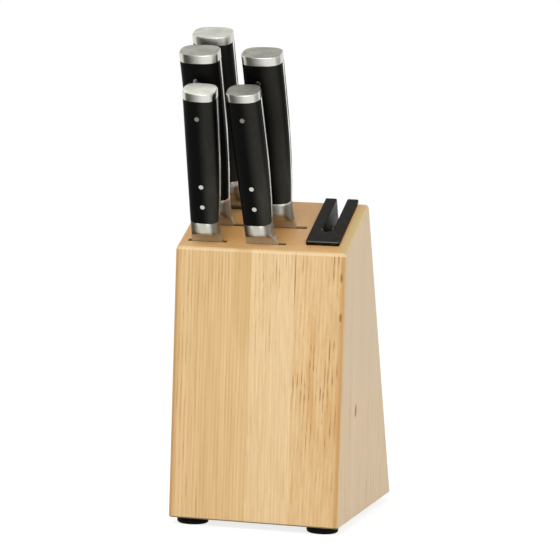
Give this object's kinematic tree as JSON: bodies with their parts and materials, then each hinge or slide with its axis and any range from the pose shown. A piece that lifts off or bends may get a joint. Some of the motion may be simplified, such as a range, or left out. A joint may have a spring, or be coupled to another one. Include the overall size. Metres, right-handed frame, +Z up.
{
  "type": "knife block with knives",
  "caption": "Leaning wooden knife block on rubber feet, with riveted kitchen knives that slide out of angled slots and a draw-through sharpener set into its top.",
  "frame": {"origin": "under the middle of the whole object's box, on the surface that the feet stand on", "axes": "+Z up, front face towards -Y, sharpener on the +X side"},
  "size_m": [0.121, 0.2232, 0.3445],
  "materials": {
    "wood": "satin clear coat",
    "handle_black": "satin",
    "blade_steel": "satin",
    "cap_steel": "brushed",
    "sharpener_black": "satin",
    "sharpening_ceramic": "fine grit",
    "foot_rubber": "matte",
    "axle_steel": "ground"
  },
  "bodies": {
    "block": {"front_stave_left": "wood", "front_stave_middle": "wood", "front_spacers": "wood", "second_board": "wood", "middle_spacers": "wood", "third_board": "wood", "rear_spacers": "wood", "back_board": "wood", "sharpener_cheek": "wood", "feet": "foot_rubber", "sharpener_housing": "sharpener_black", "wheel_axle": "axle_steel"},
    "wheels": {"sharpening_wheels": "sharpening_ceramic"},
    "paring_knife": {"paring_knife_blade": "blade_steel", "paring_knife_front_scale": "handle_black", "paring_knife_rear_scale": "handle_black", "paring_knife_end_cap": "cap_steel"},
    "utility_knife": {"utility_knife_blade": "blade_steel", "utility_knife_front_scale": "handle_black", "utility_knife_rear_scale": "handle_black", "utility_knife_end_cap": "cap_steel"},
    "bread_knife": {"bread_knife_blade": "blade_steel", "bread_knife_front_scale": "handle_black", "bread_knife_rear_scale": "handle_black", "bread_knife_end_cap": "cap_steel"},
    "carving_knife": {"carving_knife_blade": "blade_steel", "carving_knife_front_scale": "handle_black", "carving_knife_rear_scale": "handle_black", "carving_knife_end_cap": "cap_steel"},
    "chef_knife": {"chef_knife_blade": "blade_steel", "chef_knife_front_scale": "handle_black", "chef_knife_rear_scale": "handle_black", "chef_knife_end_cap": "cap_steel"}
  },
  "joints": [
    {"name": "paring_knife_draw", "type": "slide", "parent": "block", "child": "paring_knife", "axis": [0, -0.4384, 0.8988], "range_m": [0, 0.1]},
    {"name": "utility_knife_draw", "type": "slide", "parent": "block", "child": "utility_knife", "axis": [0, -0.4384, 0.8988], "range_m": [0, 0.151]},
    {"name": "bread_knife_draw", "type": "slide", "parent": "block", "child": "bread_knife", "axis": [0, -0.4384, 0.8988], "range_m": [0, 0.215]},
    {"name": "carving_knife_draw", "type": "slide", "parent": "block", "child": "carving_knife", "axis": [0, -0.4384, 0.8988], "range_m": [0, 0.215]},
    {"name": "chef_knife_draw", "type": "slide", "parent": "block", "child": "chef_knife", "axis": [0, -0.4384, 0.8988], "range_m": [0, 0.214]},
    {"name": "wheel_spin", "type": "hinge", "parent": "block", "child": "wheels", "pos_m": [0.041, -0.00567, 0.2026], "axis": [1, 0, 0], "continuous": true}
  ]
}
